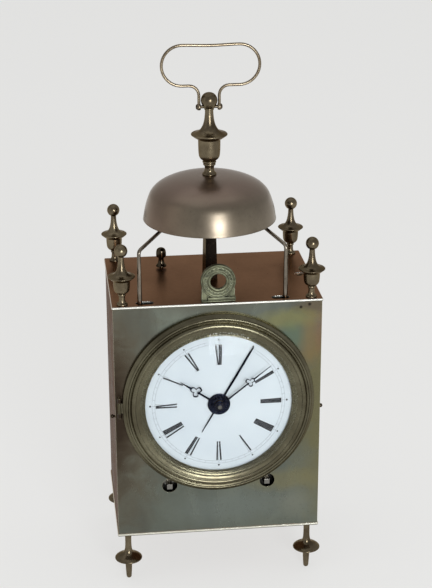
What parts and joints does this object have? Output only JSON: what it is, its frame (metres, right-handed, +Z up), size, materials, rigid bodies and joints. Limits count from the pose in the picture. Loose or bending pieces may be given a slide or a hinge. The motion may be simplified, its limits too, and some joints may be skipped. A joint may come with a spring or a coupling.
{
  "type": "pendulum clock",
  "caption": "Travelling pendulum clock: box case with hinged doors and bezel on turned feet, corner finials, bell with hammers, wire carrying handle, dial with alarm hand.",
  "frame": {"origin": "on the floor under the middle of the clock's outside box", "axes": "+Z up, -Y towards the dial side, +X to the right seen from the front"},
  "size_m": [0.1244, 0.0984, 0.3146],
  "materials": {
    "case_brass": "aged, satin",
    "top_brass": "aged, polished",
    "door_brass": "dark, aged",
    "turned_brass": "polished, aged",
    "bell_bronze": "satin",
    "bezel_brass": "polished, aged",
    "crest_brass": "patinated",
    "wire_steel": "bright",
    "post_iron": "blackened, glossy",
    "hammer_steel": "bright",
    "enamel": "white, glossy",
    "clear_glass": "clear",
    "blued_steel": "blued",
    "movement_brass": "satin",
    "arbor_steel": "polished",
    "spring_steel": "blue grey"
  },
  "bodies": {
    "case": {"bottom_plate": "case_brass", "front_plate": "case_brass", "top_plate": "top_brass", "finial_front_left": "turned_brass", "finial_front_right": "turned_brass", "finial_back_left": "turned_brass", "finial_back_right": "turned_brass", "foot_front_left": "turned_brass", "foot_front_right": "turned_brass", "foot_back_left": "turned_brass", "foot_back_right": "turned_brass", "bell_finial": "turned_brass", "bell": "bell_bronze", "crest": "crest_brass", "handle_pin": "wire_steel", "bell_post": "post_iron", "dial": "enamel", "top_plate_screws": "blued_steel", "movement_front_plate": "movement_brass", "movement_back_plate": "movement_brass", "pendulum_cock": "movement_brass", "corner_pillars": "movement_brass", "movement_pillars": "movement_brass", "door_hinge_pins": "arbor_steel", "bezel_hinge_pin": "arbor_steel"},
    "handle": {"handle": "wire_steel"},
    "left_door": {"left_door": "door_brass", "left_door_knob": "turned_brass"},
    "right_door": {"right_door": "door_brass", "right_door_knob": "turned_brass"},
    "back_door": {"back_door": "door_brass", "back_door_knob": "turned_brass"},
    "bezel": {"bezel": "bezel_brass", "bezel_glass": "clear_glass"},
    "repeat_knob": {"repeat_knob": "turned_brass"},
    "strike_hammer": {"strike_hammer": "hammer_steel"},
    "alarm_hammer": {"alarm_hammer": "hammer_steel"},
    "alarm_hand": {"alarm_hand": "blued_steel"},
    "minute_work": {"minute_hand": "blued_steel", "hand_collet": "blued_steel", "cannon_pinion": "movement_brass"},
    "hour_work": {"hour_hand": "blued_steel", "hour_wheel": "movement_brass"},
    "minute_wheel": {"minute_wheel": "movement_brass"},
    "escape_wheel": {"escape_wheel": "movement_brass"},
    "third_wheel": {"third_wheel": "movement_brass"},
    "centre_wheel": {"centre_wheel": "movement_brass"},
    "second_wheel": {"second_wheel": "movement_brass"},
    "going_barrel": {"going_barrel": "movement_brass", "going_mainspring": "spring_steel"},
    "strike_fly": {"strike_fly": "arbor_steel"},
    "strike_pin_wheel": {"strike_pin_wheel": "movement_brass"},
    "strike_barrel": {"strike_barrel": "movement_brass", "strike_mainspring": "spring_steel"},
    "going_winding_arbor": {"going_winding_arbor": "arbor_steel"},
    "strike_winding_arbor": {"strike_winding_arbor": "arbor_steel"},
    "pendulum": {"pendulum_rod": "arbor_steel", "pendulum_bob": "movement_brass", "rating_nut": "movement_brass"},
    "anchor": {"anchor": "arbor_steel"}
  },
  "joints": [
    {"name": "handle_swing", "type": "hinge", "parent": "case", "child": "handle", "pos_m": [0, 0.0037, 0.2785], "axis": [1, 0, 0], "range_deg": [-115, 115]},
    {"name": "left_door_hinge", "type": "hinge", "parent": "case", "child": "left_door", "pos_m": [-0.0582, 0.0429, 0.103], "axis": [0, 0, -1], "range_deg": [0, 110]},
    {"name": "right_door_hinge", "type": "hinge", "parent": "case", "child": "right_door", "pos_m": [0.0582, 0.0429, 0.103], "axis": [0, 0, 1], "range_deg": [0, 110]},
    {"name": "back_door_hinge", "type": "hinge", "parent": "case", "child": "back_door", "pos_m": [-0.0543, 0.0445, 0.103], "axis": [0, 0, 1], "range_deg": [0, 110]},
    {"name": "bezel_hinge", "type": "hinge", "parent": "case", "child": "bezel", "pos_m": [-0.0571, -0.0394, 0.1145], "axis": [0, 0, -1], "range_deg": [0, 110]},
    {"name": "repeat_knob_pull", "type": "slide", "parent": "case", "child": "repeat_knob", "axis": [0, 0, 1], "range_m": [0, 0.004], "stiffness_N_per_m": 50, "springref_m": -0.002},
    {"name": "strike_hammer_swing", "type": "hinge", "parent": "case", "child": "strike_hammer", "pos_m": [0.039, -0.0328, 0.15], "axis": [0, 1, 0], "range_deg": [-8, 1], "stiffness_Nm_per_rad": 0.1},
    {"name": "alarm_hammer_swing", "type": "hinge", "parent": "case", "child": "alarm_hammer", "pos_m": [-0.0438, -0.0328, 0.15], "axis": [0, -1, 0], "range_deg": [-8, 1], "stiffness_Nm_per_rad": 0.1},
    {"name": "alarm_hand_turn", "type": "hinge", "parent": "case", "child": "alarm_hand", "pos_m": [0, -0.0378, 0.1145], "axis": [0, 1, 0], "continuous": true},
    {"name": "minute_hand_turn", "type": "hinge", "parent": "case", "child": "minute_work", "pos_m": [0, -0.0378, 0.1145], "axis": [0, 1, 0], "continuous": true},
    {"name": "hour_hand_turn", "type": "hinge", "parent": "case", "child": "hour_work", "pos_m": [0, -0.0378, 0.1145], "axis": [0, 1, 0], "continuous": true},
    {"name": "minute_wheel_turn", "type": "hinge", "parent": "case", "child": "minute_wheel", "pos_m": [0, -0.0298, 0.0995], "axis": [0, 1, 0], "continuous": true},
    {"name": "escape_wheel_turn", "type": "hinge", "parent": "case", "child": "escape_wheel", "pos_m": [0, 0.0122, 0.15232], "axis": [0, 1, 0], "continuous": true},
    {"name": "third_wheel_turn", "type": "hinge", "parent": "case", "child": "third_wheel", "pos_m": [-0.012, -0.0078, 0.13433], "axis": [0, 1, 0], "continuous": true},
    {"name": "centre_wheel_turn", "type": "hinge", "parent": "case", "child": "centre_wheel", "pos_m": [0, 0.0082, 0.1145], "axis": [0, 1, 0], "continuous": true},
    {"name": "second_wheel_turn", "type": "hinge", "parent": "case", "child": "second_wheel", "pos_m": [0.022, 0.0022, 0.09196], "axis": [0, 1, 0], "continuous": true},
    {"name": "going_barrel_turn", "type": "hinge", "parent": "case", "child": "going_barrel", "pos_m": [0.0288, -0.0108, 0.0612], "axis": [0, 1, 0], "continuous": true},
    {"name": "strike_fly_turn", "type": "hinge", "parent": "case", "child": "strike_fly", "pos_m": [-0.038, -0.0128, 0.10412], "axis": [0, 1, 0], "continuous": true},
    {"name": "strike_pin_wheel_turn", "type": "hinge", "parent": "case", "child": "strike_pin_wheel", "pos_m": [-0.022, 0.0052, 0.09196], "axis": [0, 1, 0], "continuous": true},
    {"name": "strike_barrel_turn", "type": "hinge", "parent": "case", "child": "strike_barrel", "pos_m": [-0.0288, -0.0108, 0.0612], "axis": [0, 1, 0], "continuous": true},
    {"name": "going_winding_turn", "type": "hinge", "parent": "case", "child": "going_winding_arbor", "pos_m": [0.0288, -0.0328, 0.0612], "axis": [0, 1, 0], "continuous": true},
    {"name": "strike_winding_turn", "type": "hinge", "parent": "case", "child": "strike_winding_arbor", "pos_m": [-0.0288, -0.0328, 0.0612], "axis": [0, 1, 0], "continuous": true},
    {"name": "pendulum_swing", "type": "hinge", "parent": "case", "child": "pendulum", "pos_m": [0, 0.0267, 0.166], "axis": [0, 1, 0], "range_deg": [-3, 3]},
    {"name": "anchor_rock", "type": "hinge", "parent": "case", "child": "anchor", "pos_m": [0, 0.0122, 0.166], "axis": [0, 1, 0], "range_deg": [-3, 3]}
  ],
  "couplings": [
    {"joint": "hour_hand_turn", "follows": "minute_hand_turn", "ratio": 0.083333},
    {"joint": "minute_wheel_turn", "follows": "minute_hand_turn", "ratio": -0.33333},
    {"joint": "third_wheel_turn", "follows": "escape_wheel_turn", "ratio": -0.072917},
    {"joint": "centre_wheel_turn", "follows": "escape_wheel_turn", "ratio": 0.0053168},
    {"joint": "second_wheel_turn", "follows": "escape_wheel_turn", "ratio": -0.00088614},
    {"joint": "going_barrel_turn", "follows": "escape_wheel_turn", "ratio": 0.00014769},
    {"joint": "strike_pin_wheel_turn", "follows": "strike_fly_turn", "ratio": -0.11667},
    {"joint": "strike_barrel_turn", "follows": "strike_fly_turn", "ratio": 0.019444},
    {"joint": "anchor_rock", "follows": "pendulum_swing", "ratio": 1}
  ]
}
